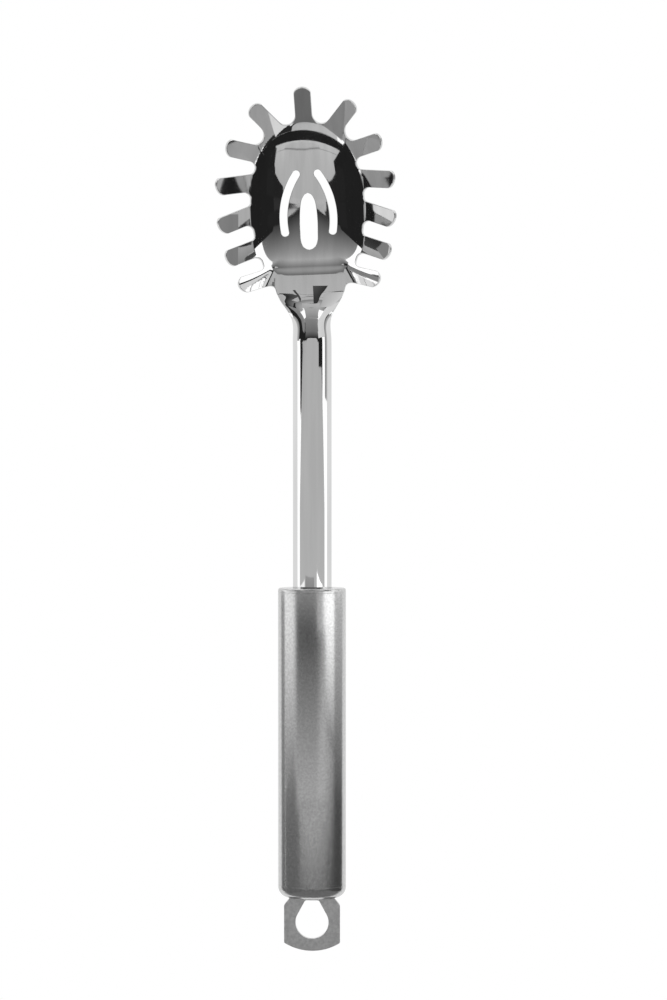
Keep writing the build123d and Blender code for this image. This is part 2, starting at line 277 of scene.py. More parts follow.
@dataclass
class Plate:
    """A plate with rounded edges, laid on a curved surface.

    The upper face is a triangle net over the plan outline. The lower face is the same net, moved in by the
    thickness, square to the surface. Between them runs the edge: a quarter round, a wall, a quarter round.
    """

    outline: np.ndarray
    surface: Surface
    thickness: float
    net: float
    holes: list[np.ndarray] = field(default_factory=list)
    upper_round: float = 0.25
    lower_round: float = 0.25
    hole_round: float = 0.2
    round_steps: int = 5
    net_clearance_share: float = 0.6
    merge_distance: float = 1e-6

    def net_points(self, loops: Sequence[np.ndarray]) -> np.ndarray:
        """Points of a square net that lie well inside the outline.

        Args:
            loops: the outline and the holes.

        Returns:
            The net's plan points.
        """
        low, high = self.outline.min(axis=0), self.outline.max(axis=0)
        grid = np.meshgrid(np.arange(low[0], high[0], self.net), np.arange(low[1], high[1], self.net))
        points = np.stack([axis.ravel() for axis in grid], axis=1)
        points = points[inside(points, loops)]
        return points[clear_of(points, loops, self.net_clearance_share * self.net)]

    def triangles(self, plan: np.ndarray, starts: np.ndarray) -> np.ndarray:
        """Delaunay triangles between the outline and the holes.

        Args:
            plan: the outline's points, each hole's, then the net's.
            starts: where each loop starts in plan, and where the last one ends.

        Returns:
            Three point numbers a triangle, counter-clockwise.
        """
        rims = [np.arange(start, end) for start, end in zip(starts, starts[1:])]
        areas = [rims[0].tolist()] + [rim[::-1].tolist() for rim in rims[1:]]
        found = delaunay_2d_cdt([Vector(p) for p in plan.tolist()], [], areas, 0, self.merge_distance)
        source = np.array([origin[0] for origin in found[3]])
        solid = [area == [0] for area in found[5]]
        triangles = source[np.array(found[2])[solid]]
        corner = plan[triangles]
        area = np.cross(corner[:, 1] - corner[:, 0], corner[:, 2] - corner[:, 0])
        return np.where(area[:, None] < 0, triangles[:, ::-1], triangles)

    def rings(self, upper: float, lower: float) -> list[tuple[float, float, float, float]]:
        """Profile of the edge, from the upper face down: a quarter circle, a wall, a quarter circle.

        Args:
            upper: radius of the upper round.
            lower: radius of the lower round.

        Returns:
            Reach outwards, depth under the face, and the normal's outward and upward parts, ring by ring.
        """
        quarter = np.linspace(0, math.pi / 2, self.round_steps + 1)
        above = [
            (upper * math.sin(a), upper * (1 - math.cos(a)), math.sin(a), math.cos(a))
            for a in quarter[1:]
        ]
        below = [
            (
                upper - lower * (1 - math.cos(a)),
                self.thickness - lower * (1 - math.sin(a)),
                math.cos(a),
                -math.sin(a),
            )
            for a in quarter[:-1]
        ]
        return above + below

    def build(self, name: str) -> Object:
        """Build the plate's closed mesh.

        Args:
            name: the object's name.

        Returns:
            The new object.
        """
        rounds = [self.upper_round] + [self.hole_round] * len(self.holes)
        under = [self.lower_round] + [self.hole_round] * len(self.holes)
        loops = [inset_loop(loop, r) for loop, r in zip([self.outline, *self.holes], rounds)]
        plan = np.concatenate([*loops, self.net_points(loops)])
        starts = np.cumsum([0] + [len(loop) for loop in loops])
        triangles = self.triangles(plan, starts)
        top, square = self.surface(plan), square_to(self.surface, plan)
        count = len(plan)
        points, normals = [top, top - square * self.thickness], [square, -square]
        faces = triangles.tolist() + (triangles[:, ::-1] + count).tolist()
        base = 2 * count
        for start, loop, upper, lower in zip(starts, loops, rounds, under):
            chosen = np.arange(start, start + len(loop))
            edge, up = top[chosen], square[chosen]
            along = np.roll(edge, -1, axis=0) - np.roll(edge, 1, axis=0)
            out = unit(np.cross(along, up))
            rows = [chosen]
            for reach, depth, outwards, upwards in self.rings(upper, lower):
                points.append(edge + out * reach - up * depth)
                normals.append(out * outwards + up * upwards)
                rows.append(base + np.arange(len(loop)))
                base += len(loop)
            rows.append(chosen + count)
            for row, next_row in zip(rows, rows[1:]):
                faces += np.stack([row, next_row, np.roll(next_row, -1), np.roll(row, -1)], axis=1).tolist()
            points[1][chosen] = edge + out * (upper - lower) - up * self.thickness
        return write_mesh(name, np.concatenate(points), faces, np.concatenate(normals))


# where the tool lies


@dataclass(frozen=True)
class ToolFrame:
    """The tool's own axes on the table, where it rests on the bowl and on the rear end of the handle."""

    handle_width: float = 25.9
    handle_thickness: float = 17.0
    rear_cap_rise: float = 4.8
    tube_length: float = 112.0
    front_cap_thickness: float = 1.6
    shank_reach: float = 94.0
    sheet: float = 1.2
    bowl_drop: float = 13.8
    bowl_station: float = 53.5
    head_skew: float = 2.25
    skew_ease: float = 4.0
    tab_reach: float = 20.6
    rim_front_reach: float = 29.5
    front_tine_reach: float = 12.35

    @property
    def handle_half(self) -> np.ndarray:
        """Half the width and half the thickness of the handle."""
        return np.array([self.handle_width, self.handle_thickness]) / 2

    @property
    def handle_front(self) -> float:
        """Station of the front cap's outer face."""
        return self.rear_cap_rise + self.tube_length + self.front_cap_thickness

    @property
    def bend_station(self) -> float:
        """Station where the neck starts down from the shank."""
        return self.handle_front + self.shank_reach

    @property
    def skew(self) -> float:
        """Turn of the head on the shank, in radians."""
        return math.radians(self.head_skew)

    @property
    def tilt(self) -> float:
        """Rise of the tool's axis towards the head, in radians."""
        drop = self.bowl_drop + self.sheet - self.handle_thickness / 2
        return math.atan2(drop, self.bend_station + self.bowl_station - self.rear_cap_rise)

    @property
    def axes(self) -> np.ndarray:
        """Rows: the tool's right, forward and upward directions on the table."""
        c, s = math.cos(self.tilt), math.sin(self.tilt)
        return np.array([[1, 0, 0], [0, c, s], [0, -s, c]])

    @property
    def origin(self) -> np.ndarray:
        """Place of the rear dome's end, on the handle's axis, with the tool centred on the table.

        Returns:
            The place.
        """
        reach = self.bowl_station + self.rim_front_reach + self.front_tine_reach
        front = self.bend_station + reach * math.cos(self.skew)
        x = self.bowl_station * math.sin(self.skew)
        y = -(front - self.tab_reach) / 2 * math.cos(self.tilt)
        z = self.handle_thickness / 2 * math.cos(self.tilt) - self.rear_cap_rise * math.sin(self.tilt)
        return np.array([x, y, z])

    def place(self, x: np.ndarray, y: np.ndarray, z: np.ndarray) -> np.ndarray:
        """Points of the tool's own axes, placed on the table."""
        local = np.stack(np.broadcast_arrays(x, y, z), axis=-1)
        return self.origin + local @ self.axes

    def place_head(self, x: np.ndarray, y: np.ndarray, z: np.ndarray) -> np.ndarray:
        """Points of the head's own axes, placed on the table.

        The head is turned by its skew about the bend. Behind the bend the plan swings back onto the shank's
        line: the swing grows with the square of the distance at first, then evenly.

        Args:
            x: distances to the right of the bowl's deepest point.
            y: distances in front of it.
            z: heights over it.

        Returns:
            The places.
        """
        ease = self.skew_ease
        behind = np.clip(-y - self.bowl_station + ease, 0, None)
        swing = np.where(behind < 2 * ease, behind**2 / (4 * ease), behind - ease) * math.sin(self.skew)
        x = x - swing
        c, s = math.cos(self.skew), math.sin(self.skew)
        forward = y + self.bowl_station
        return self.place(x * c - forward * s, self.bend_station + x * s + forward * c, z - self.bowl_drop)


# the stamped head


@dataclass
class PressedHead:
    """Bowl, thirteen tines, drain slots, neck, shank and tang, all of one polished sheet.

    A row of tines has the turn from straight ahead, the root in shares of the rim's half width and front
    reach, and the share of the full length. A row of neck has the share of the way from the pressed sheet to
    the bend, and how much of the narrowing, the arching and the climb is done there.
    """

    frame: ToolFrame
    bowl_radius: float = 36.0
    rim_half_width: float = 21.5
    rim_rear_reach: float = 25.7
    blank_rear_reach: float = 41.0
    crease_station: float = 25.0
    crease_blend: float = 1.6
    plateau_slope: float = 14.0
    plateau_half_width: float = 12.0
    plateau_flare: float = 26.6
    plateau_wall_round: float = 4.0
    plateau_wall_slope: float = 45.0
    pressed_rear: float = 35.0
    pressed_rear_half_width: float = 12.9
    tine_width: float = 6.5
    tine_length: float = 13.0
    tine_slope: float = 47.0
    tine_bend: float = 5.0
    tine_root_round: float = 2.0
    front_notch_round: float = 3.5
    widest_plain_notch: float = 25.0
    tip_round_share: float = 0.515
    tip_points: int = 15
    shank_half_width: float = 7.45
    shank_crown: float = 5.2
    nearly_flat_crown: float = 0.02
    tang_length: float = 34.0
    flank_points: int = 60
    net: float = 0.7
    outline_step: float = 0.45
    tines: tuple = (
        (0.0, 0.0, 1.0, 0.95),
        (45.5, 0.458, 0.888, 0.985),
        (80.2, 0.785, 0.62, 0.95),
        (101.0, 0.963, 0.266, 0.99),
        (115.4, 0.986, -0.139, 0.995),
        (114.5, 0.875, -0.556, 1.0),
        (108.4, 0.718, -0.956, 0.89),
    )
    neck: tuple = (
        (0.0, 0.0, 0.0, 0.0),
        (0.164, 0.25, 0.15, 0.107),
        (0.37, 0.71, 0.5, 0.4),
        (0.564, 0.99, 0.8, 0.68),
        (1.0, 1.0, 1.0, 1.0),
    )
    # Stations of the middle slot from its pointed front to its round tail, and its half width at each.
    middle_slot_stations: tuple = (3.9, 3.3, 1.2, -2.5, -7.0, -11.0, -14.6, -16.8, -17.8, -18.1)
    middle_slot_half_widths: tuple = (0.0, 1.25, 2.45, 3.1, 3.35, 3.3, 3.1, 2.3, 1.1, 0.0)
    middle_slot_points: int = 60
    # The right-hand slot's middle line: its front end, its widest place and its rear end.
    side_slot_line: tuple = ((4.12, 11.1), (8.24, 2.66), (9.15, -11.1))
    side_slot_half_width: float = 1.45
    side_slot_points: int = 50
    slot_end_points: int = 13

    def flared(self, run: np.ndarray, bend: float, start: float, end: float) -> np.ndarray:
        """Height of a wall after a level run: an arc between two slopes, then a straight wall.

        Args:
            run: distances beyond the wall's foot.
            bend: the arc's radius.
            start: the slope at the foot, in radians.
            end: the slope of the straight wall, in radians.

        Returns:
            The heights over the foot.
        """
        run = np.maximum(run, 0)
        turn = bend * (math.sin(end) - math.sin(start))
        lean = np.clip(math.sin(start) + np.minimum(run, turn) / bend, -1, 1)
        arc = bend * (math.cos(start) - np.sqrt(1 - lean**2))
        return arc + np.maximum(run - turn, 0) * math.tan(end)

    def dish(self, distance: np.ndarray) -> np.ndarray:
        """Height of the bowl: a spherical floor, then tines bent up at the rim.

        Args:
            distance: distances from the bowl's centre.

        Returns:
            The heights over its deepest point.
        """
        rim = self.rim_half_width
        radius = self.bowl_radius
        floor = radius - np.sqrt(radius**2 - np.minimum(distance, rim) ** 2)
        slopes = math.asin(rim / radius), math.radians(self.tine_slope)
        return floor + self.flared(distance - rim, self.tine_bend, *slopes)

    def height(self, x: np.ndarray, y: np.ndarray) -> np.ndarray:
        """Height of the pressed sheet.

        The bowl is an ellipse in front of its centre and a squarer oval behind it. Behind the crease it gives
        way, with a smooth blend, to a gently rising plateau with flared sides.

        Args:
            x: distances to the right of the bowl's deepest point.
            y: distances in front of it.

        Returns:
            The heights over it.
        """
        rim = self.rim_half_width
        front = self.dish(np.hypot(x, y * rim / self.frame.rim_front_reach))
        oval = self.dish((x**4 + (y * rim / self.rim_rear_reach) ** 4) ** 0.25)
        behind = -y - self.crease_station
        level = self.dish(np.array(self.crease_station * rim / self.rim_rear_reach))
        edge = self.plateau_half_width + behind * math.tan(math.radians(self.plateau_flare))
        wall_slope = math.radians(self.plateau_wall_slope)
        wall = self.flared(np.abs(x) - edge, self.plateau_wall_round, 0.0, wall_slope)
        plateau = level + np.maximum(behind, 0) * math.tan(math.radians(self.plateau_slope)) + wall
        closeness = np.maximum(1 - np.abs(oval - plateau) / self.crease_blend, 0)
        rear = np.minimum(oval, plateau) - closeness**2 * self.crease_blend / 4
        return np.where(y > 0, front, rear)

    def arch(self, y: np.ndarray) -> tuple[np.ndarray, np.ndarray, np.ndarray]:
        """Section of the arched neck and shank: smooth curves through the rows of neck.

        Args:
            y: stations behind the pressed sheet.

        Returns:
            The half width, the crown and the height of the top at each.
        """
        back, narrowing, arching, climb = np.array(self.neck).T
        start, flat = -self.pressed_rear, self.nearly_flat_crown
        stations = -start + back * (self.frame.bowl_station + start)
        first = float(self.height(np.array(0.0), np.array(start)))
        crowns = flat + arching * (self.shank_crown - flat)
        narrowest = self.shank_half_width - self.pressed_rear_half_width
        widths = self.pressed_rear_half_width + narrowing * narrowest
        tops = first + climb * (self.frame.bowl_drop + self.shank_crown / 2 - first)
        return tuple(smooth_through(stations, values, -y) for values in (widths, crowns, tops))

    def half_developed(self, y: np.ndarray) -> np.ndarray:
        """Half the flat width of the arched sheet: the arc's radius times its half angle.

        Args:
            y: stations behind the pressed sheet.

        Returns:
            The half width at each.
        """
        width, crown, _ = self.arch(y)
        radius = arc_radius(width, crown)
        return radius * np.arcsin(width / radius)

    def surface(self, plan: np.ndarray) -> np.ndarray:
        """Upper face of the sheet: pressed in front, and rolled round the arch behind.

        Args:
            plan: points of the flat pattern, across it and along it.

        Returns:
            Their places on the table.
        """
        x, y = plan[..., 0], plan[..., 1]
        width, crown, top = self.arch(np.minimum(y, -self.pressed_rear))
        radius = arc_radius(width, crown)
        arched = y < -self.pressed_rear
        across = np.where(arched, radius * np.sin(x / radius), x)
        height = np.where(arched, top - radius * (1 - np.cos(x / radius)), self.height(x, y))
        return self.frame.place_head(across, y, height)

    def on_rim(self, point: np.ndarray, outwards: np.ndarray) -> np.ndarray:
        """Where a line along a tine meets the rim: half an ellipse in front, half a longer one behind.

        Args:
            point: a point of the line, inside the rim.
            outwards: the line's direction.

        Returns:
            The meeting point.
        """
        reach = self.frame.rim_front_reach if point[1] > 0 else self.blank_rear_reach
        axes = np.array([self.rim_half_width, reach])
        place, step = point / axes, outwards / axes
        along = place @ step
        run = (math.sqrt(along**2 - step @ step * (place @ place - 1)) - along) / (step @ step)
        return point + outwards * run

    def places(self) -> list[tuple[np.ndarray, np.ndarray, float]]:
        """Places of the tines, from the rear right one round to the rear left one.

        Returns:
            The root, outward direction and length of each.
        """
        size = np.array([self.rim_half_width, self.frame.rim_front_reach])
        right = [
            (np.array(root) * size, turned(turn), self.tine_length * length)
            for turn, *root, length in reversed(self.tines)
        ]
        flip = np.array([-1, 1])
        return right + [(root * flip, out * flip, length) for root, out, length in reversed(right[:-1])]

    def tip(self, root: np.ndarray, outwards: np.ndarray, length: float) -> np.ndarray:
        """Plan of a tine's full-round end, which its slope shortens.

        Args:
            root: the tine's root.
            outwards: its direction.
            length: its length in plan.

        Returns:
            Points from its right side to its left.
        """
        end, half = root + outwards * length, self.tine_width / 2
        near = end - outwards * half
        rise = float(self.height(*end) - self.height(*near))
        foreshortened = half / math.hypot(half, rise)
        radius = self.tine_width * self.tip_round_share
        middle = end - outwards * radius * foreshortened
        widest = math.asin(half / radius)
        angle = np.linspace(-widest, widest, self.tip_points)[:, None]
        ahead = outwards * np.cos(angle) * radius * foreshortened
        return middle + ahead + left_of(outwards) * np.sin(angle) * radius

    def notch(self, left: np.ndarray, along: np.ndarray, right: np.ndarray, other: np.ndarray) -> list[tuple]:
        """Gap between two tines: one wide round where they fan out strongly, else two small ones on the rim.

        Args:
            left: the left side of the first tine's root.
            along: the first tine's direction.
            right: the right side of the second tine's root.
            other: the second tine's direction.

        Returns:
            Each corner of the outline, with its radius.
        """
        if np.cross(along, other) > math.sin(math.radians(self.widest_plain_notch)):
            return [(crossing(left, along, right, other), self.front_notch_round)]
        feet = ((left, along), (right, other))
        return [(self.on_rim(point, out), self.tine_root_round) for point, out in feet]

    def outline(self) -> np.ndarray:
        """Flat outline of the whole stamping.

        Returns:
            Its points, counter-clockwise from the right side of the tang's end.
        """
        places, half = self.places(), self.tine_width / 2
        ways = [out for _, out, _ in places]
        rights = [root - left_of(out) * half for root, out, _ in places]
        lefts = [root + left_of(out) * half for root, out, _ in places]
        back = np.linspace(-self.rear_end, -self.pressed_rear, self.flank_points)[:-1]
        flank = list(np.stack([self.half_developed(back), back], axis=1))
        flank.append(np.array([self.pressed_rear_half_width, -self.pressed_rear]))
        corners = [(point, SHARP) for point in flank]
        corners.append((self.on_rim(rights[0], ways[0]), self.tine_root_round))
        for i, place in enumerate(places):
            corners += [(point, SHARP) for point in self.tip(*place)]
            if i + 1 < len(places):
                corners += self.notch(lefts[i], ways[i], rights[i + 1], ways[i + 1])
        corners.append((self.on_rim(lefts[-1], ways[-1]), self.tine_root_round))
        corners += [(point * (-1, 1), SHARP) for point in reversed(flank)]
        points, radii = zip(*corners)
        return rounded_loop(points, radii, self.outline_step)

    @property
    def rear_end(self) -> float:
        """How far behind the bowl's centre the tang ends."""
        return self.frame.bowl_station + self.frame.shank_reach + self.tang_length

    def bullet_slot(self) -> np.ndarray:
        """Middle drain slot: a pointed front, widest at half its length, and a round tail.

        Returns:
            Its plan, clockwise.
        """
        y, x = np.array(self.middle_slot_stations), np.array(self.middle_slot_half_widths)
        length = np.concatenate([[0], np.cumsum(np.hypot(np.diff(x), np.diff(y)))])
        at = np.linspace(0, length[-1], self.middle_slot_points)
        right = np.stack([smooth_through(length, x, at), np.interp(at, length, y)], axis=1)
        return np.concatenate([right, right[-2:0:-1] * (-1, 1)])

    def side_slot(self, hand: int) -> np.ndarray:
        """Bowed drain slot on one side: a round-ended band along an arc through three points.

        Args:
            hand: 1 for the right-hand slot, -1 for the left-hand one.

        Returns:
            Its plan, clockwise.
        """
        start, middle, end = np.array(self.side_slot_line)
        half = self.side_slot_half_width
        chord = np.linalg.norm([middle - start, end - middle, end - start], axis=1)
        radius = chord.prod() / (2 * abs(np.cross(middle - start, end - start)))
        between = (start + end) / 2
        inward = unit(left_of(unit(start - end)))
        inward = inward * math.copysign(1, (between - middle) @ inward)
        centre = between + inward * math.sqrt(radius**2 - (chord[2] / 2) ** 2)
        first, last = (math.atan2(*(p - centre)[::-1]) for p in (start, end))
        sweep = np.linspace(first, last, self.side_slot_points)
        cap = np.linspace(0, math.pi, self.slot_end_points)[1:-1]
        outer = centre + (radius + half) * on_circle(sweep)
        inner = centre + (radius - half) * on_circle(sweep[::-1])
        far = end + half * on_circle(last - cap)
        near = start + half * on_circle(first + math.pi - cap)
        loop = np.concatenate([outer, far, inner, near])
        return loop if hand > 0 else loop[::-1] * (-1, 1)

    def build(self) -> Object:
        """Build the stamping and let it stand for its CAD node.

        Returns:
            The new object.
        """
        holes = [self.bullet_slot(), self.side_slot(1), self.side_slot(-1)]
        plate = Plate(self.outline(), self.surface, self.frame.sheet, self.net, holes)
        piece = plate.build("head_and_shank_look")
        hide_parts("head_and_shank")
        return piece


# the handle and its tab


@dataclass
class HangingTab:
    """Flat plate with a teardrop hole, its root inside the handle."""

    frame: ToolFrame
    width: float = 21.4
    neck_width: float = 16.6
    thickness: float = 1.6
    end_bow: float = 3.1
    end_corner_round: float = 0.4
    shoulder: float = 3.0
    root: float = 10.0
    corner_round: float = 0.8
    shoulder_round: float = 1.5
    hole_radius: float = 6.3
    hole_centre: float = 9.6
    hole_top_width: float = 5.2
    hole_top: float = 1.2
    hole_corner_round: float = 0.9
    hole_edge: float = 0.25
    bow_points: int = 41
    hole_points: int = 60
    net: float = 0.9
    outline_step: float = 0.5
    hole_step: float = 0.4

    def outline(self) -> np.ndarray:
        """Plan of the tab: a bowed end, straight sides and a narrower root.

        Returns:
            Its points, counter-clockwise from its left rear corner.
        """
        half, neck, rear = self.width / 2, self.neck_width / 2, self.end_bow - self.frame.tab_reach
        radius = arc_radius(half, self.end_bow)
        reach = math.asin(half / radius)
        angle = np.linspace(-reach, reach, self.bow_points)[1:-1]
        centre = radius - self.frame.tab_reach
        bow = list(np.stack([radius * np.sin(angle), centre - radius * np.cos(angle)], axis=1))
        corners = [(-half, rear), *bow, (half, rear), (half, -self.shoulder), (neck, 0), (neck, self.root)]
        corners += [(-neck, self.root), (-neck, 0), (-half, -self.shoulder)]
        end, small, large = self.end_corner_round, self.corner_round, self.shoulder_round
        radii = [end, *[SHARP] * len(bow), end, large, large, small, small, large, large]
        return rounded_loop([np.array(c) for c in corners], radii, self.outline_step)

    def teardrop(self) -> np.ndarray:
        """Plan of the hole: a circle whose tangents run up to a short flat end.

        Returns:
            Its points, clockwise.
        """
        corner = np.array([self.hole_top_width / 2, self.hole_centre - self.hole_top])
        reach = math.atan2(corner[1], corner[0]) - math.acos(self.hole_radius / np.linalg.norm(corner))
        arc = self.hole_radius * on_circle(np.linspace(reach, -math.pi - reach, self.hole_points))
        corners = [*arc, corner * (-1, 1), corner]
        radii = [SHARP] * len(arc) + [self.hole_corner_round] * 2
        return rounded_loop(corners, radii, self.hole_step) - (0, self.hole_centre)

    def face(self, plan: np.ndarray) -> np.ndarray:
        """Upper face of the tab, half its thickness over the handle's axis."""
        return self.frame.place(plan[..., 0], plan[..., 1], self.thickness / 2)

    def build(self) -> Object:
        """Build the tab and let it stand for its CAD node.

        Returns:
            The new object.
        """
        hole = [self.teardrop()]
        plate = Plate(self.outline(), self.face, self.thickness, self.net, hole, hole_round=self.hole_edge)
        piece = plate.build("hanging_tab_look")
        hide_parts("hanging_tab")
        return piece


@dataclass
class Handle:
    """Hollow oval tube with a flat front cap and a domed rear cap."""

    frame: ToolFrame
    head: PressedHead
    tab: HangingTab
    wall: float = 0.8
    tube_edge: float = 0.08
    front_round: float = 0.9
    rear_round: float = 4.2
    rear_thickness: float = 1.2
    cap_edge: float = 0.05
    slot_edge: float = 0.1
    slot_gap: float = 0.25
    slot_corner_round: float = 0.15
    slot_step: float = 0.8
    front_net: float = 1.0
    rear_net: float = 0.6
    oval_points: int = 180
    tube_points: int = 240
    edge_points: int = 5
    arch_points: int = 41
    # The search for an oval starts this far outside the cap's plan and stops this short of its middle line.
    search_beyond: float = 1.0
    search_short: float = 0.01
    search_halvings: int = 40

    def oval(self) -> np.ndarray:
        """Points round the handle's oval section, counter-clockwise."""
        return self.frame.handle_half * on_circle(full_turn(self.oval_points))

    def tube_profile(self) -> tuple[np.ndarray, np.ndarray]:
        """Closed profile of the tube's wall: a quarter round at each of its four corners.

        Returns:
            The inset and the station of each point, and the profile's outward direction there.
        """
        r, quarter = self.tube_edge, np.linspace(0, math.pi / 2, self.edge_points)
        low, high = self.frame.rear_cap_rise, self.frame.rear_cap_rise + self.frame.tube_length
        outer, inner = r, self.wall - r
        centres = [(outer, low + r, 270), (outer, high - r, 180), (inner, high - r, 90), (inner, low + r, 0)]
        lean = [on_circle(math.radians(start) - quarter) for _, _, start in centres]
        profile = [np.array([inset, station]) + r * turn for (inset, station, _), turn in zip(centres, lean)]
        return np.concatenate(profile), np.concatenate(lean)

    def tube(self) -> Object:
        """Build the tube: its profile carried round the oval.

        Returns:
            The new object.
        """
        profile, lean = self.tube_profile()
        half, ring = self.frame.handle_half, on_circle(full_turn(self.tube_points))
        inset, station = profile[:, 0, None], profile[:, 1, None]
        points = self.frame.place((half[0] - inset) * ring[:, 0], station, (half[1] - inset) * ring[:, 1])
        outward = unit(ring / half)
        inwards, forwards = lean[:, 0, None], lean[:, 1, None]
        parts = np.broadcast_arrays(-inwards * outward[:, 0], forwards, -inwards * outward[:, 1])
        normals = np.stack(parts, axis=-1) @ self.frame.axes
        rows, count = points.shape[:2]
        index = np.arange(rows * count).reshape(rows, count)
        ahead = np.roll(index, -1, axis=0)
        faces = np.stack([index, ahead, np.roll(ahead, -1, axis=1), np.roll(index, -1, axis=1)], axis=-1)
        corners = faces.reshape(-1, 4).tolist()
        piece = write_mesh("handle_tube_look", points.reshape(-1, 3), corners, normals.reshape(-1, 3))
        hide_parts("handle_tube")
        return piece

    def arch_slot(self) -> np.ndarray:
        """Slot round the shank's arched section.

        Returns:
            Its points, clockwise as seen from the front.
        """
        width, crown = self.head.shank_half_width, self.head.shank_crown
        radius = arc_radius(width, crown)
        centre = crown / 2 - radius
        reach = math.asin(width / radius) + self.slot_gap / radius
        angle = np.linspace(-reach, reach, self.arch_points)
        rims = [radius + self.slot_gap, radius - self.frame.sheet - self.slot_gap]
        outer, inner = (np.stack([r * np.sin(angle), centre + r * np.cos(angle)], axis=1) for r in rims)
        return np.concatenate([outer, inner[::-1]])

    def front_face(self, plan: np.ndarray) -> np.ndarray:
        """Front cap's outer face, whose plan is seen from the front, so that its right is the tool's left."""
        return self.frame.place(-plan[..., 0], self.frame.handle_front, plan[..., 1])

    def front_cap(self) -> Object:
        """Build the flat cap: its front edge is rounded, and the shank goes through its slot.

        Returns:
            The new object.
        """
        plate = Plate(
            self.oval(),
            self.front_face,
            self.frame.front_cap_thickness,
            self.front_net,
            [self.arch_slot()],
            upper_round=self.front_round,
            lower_round=self.cap_edge,
            hole_round=self.slot_edge,
        )
        piece = plate.build("front_cap_look")
        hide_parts("front_cap")
        return piece

    @property
    def dome_half(self) -> np.ndarray:
        """Half axes of the rear cap's unrolled plan."""
        unrolled = self.frame.rear_cap_rise - self.rear_round + (math.pi / 2 - 1) * self.rear_round
        return self.frame.handle_half + unrolled

    def domed(self, plan: np.ndarray) -> np.ndarray:
        """Rear cap's outer face.

        Each plan point lies on one oval of a family whose two half axes shrink by the same length, which is
        found by halving. That length is spent along the cap's profile: a short straight wall, a quarter
        round, the flat end.

        Args:
            plan: points of the cap's unrolled plan.

        Returns:
            Their places on the table.
        """
        half = self.dome_half
        low = np.full(plan.shape[:-1], -self.search_beyond)
        high = np.full(plan.shape[:-1], half[1] - self.search_short)
        for _ in range(self.search_halvings):
            middle = (low + high) / 2
            beyond = np.sum((plan / (half - middle[..., None])) ** 2, axis=-1) < 1
            low, high = np.where(beyond, middle, low), np.where(beyond, high, middle)
        radius, straight = self.rear_round, self.frame.rear_cap_rise - self.rear_round
        bend = np.clip((low - straight) / radius, 0, math.pi / 2)
        level = np.maximum(low - straight - radius * math.pi / 2, 0)
        inset = radius * (1 - np.cos(bend)) + level
        station = self.frame.rear_cap_rise - np.minimum(low, straight) - radius * np.sin(bend)
        spot = plan / (half - low[..., None]) * (self.frame.handle_half - inset[..., None])
        return self.frame.place(spot[..., 0], station, spot[..., 1])

    def rear_cap(self) -> Object:
        """Build the domed cap: a large round to a small flat end, with a slot for the tab.

        Returns:
            The new object.
        """
        half = np.array([self.tab.neck_width, self.tab.thickness]) / 2 + self.slot_gap
        corners = half * np.array([[-1, -1], [-1, 1], [1, 1], [1, -1]])
        plate = Plate(
            self.dome_half * on_circle(full_turn(self.oval_points)),
            self.domed,
            self.rear_thickness,
            self.rear_net,
            [rounded_loop(corners, [self.slot_corner_round] * 4, self.slot_step)],
            upper_round=self.cap_edge,
            lower_round=self.cap_edge,
            hole_round=self.slot_edge,
        )
        piece = plate.build("rear_cap_look")
        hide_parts("rear_cap")
        return piece


# finishes

# Where most of a noise's values lie, for the drift of the colour and for the grain. Each is spread over its
# whole effect, and what lies beyond is cut off.
DRIFT_SPAN = {"From Min": 0.35, "From Max": 0.65}
GRAIN_SPAN = {"From Min": 0.3, "From Max": 0.7}


def linear(colour: str) -> tuple[float, float, float, float]:
    """Linear colour of an sRGB hex value: a straight run near black, then a power curve."""
    shares = [int(colour[i : i + 2], 16) / 255 for i in (1, 3, 5)]
    return (*[c / 12.92 if c <= 0.04045 else ((c + 0.055) / 1.055) ** 2.4 for c in shares], 1.0)


def add_node(tree: NodeTree, kind: str, inputs: dict | None = None, **settings: object) -> Node:
    """Add a node.

    Args:
        tree: the node tree that takes it.
        kind: the node's type.
        inputs: socket name or number to a value, or to another node's output socket.
        settings: the node's own properties.

    Returns:
        The new node.
    """
    node = tree.nodes.new(kind)
    for name, value in settings.items():
        setattr(node, name, value)
    for name, value in (inputs or {}).items():
        if isinstance(value, NodeSocket):
            tree.links.new(value, node.inputs[name])
        else:
            node.inputs[name].default_value = value
    return node


def empty_tree(owner: Material | World) -> NodeTree:
    """Node tree of a new material or world, with nothing in it.

    Args:
        owner: the material or world.

    Returns:
        Its emptied tree.
    """
    owner.use_nodes = True
    owner.node_tree.nodes.clear()
    return owner.node_tree


def pattern(tree: NodeTree, place: Node, size_mm: Sequence[float], look: dict) -> NodeSocket:
    """Noise stretched to sizes in millimetres.

    Args:
        tree: the material's node tree.
        place: its texture coordinates.
        size_mm: the size of its blots along x, y and z.
        look: the noise's other inputs.

    Returns:
        The noise's socket.
    """
    scale = [1 / (size * MM) for size in size_mm]
    stretch = add_node(tree, "ShaderNodeMapping", {"Vector": place.outputs["Object"], "Scale": scale})
    inputs = {"Vector": stretch.outputs["Vector"], "Scale": 1.0, **look}
    return add_node(tree, "ShaderNodeTexNoise", inputs).outputs["Fac"]


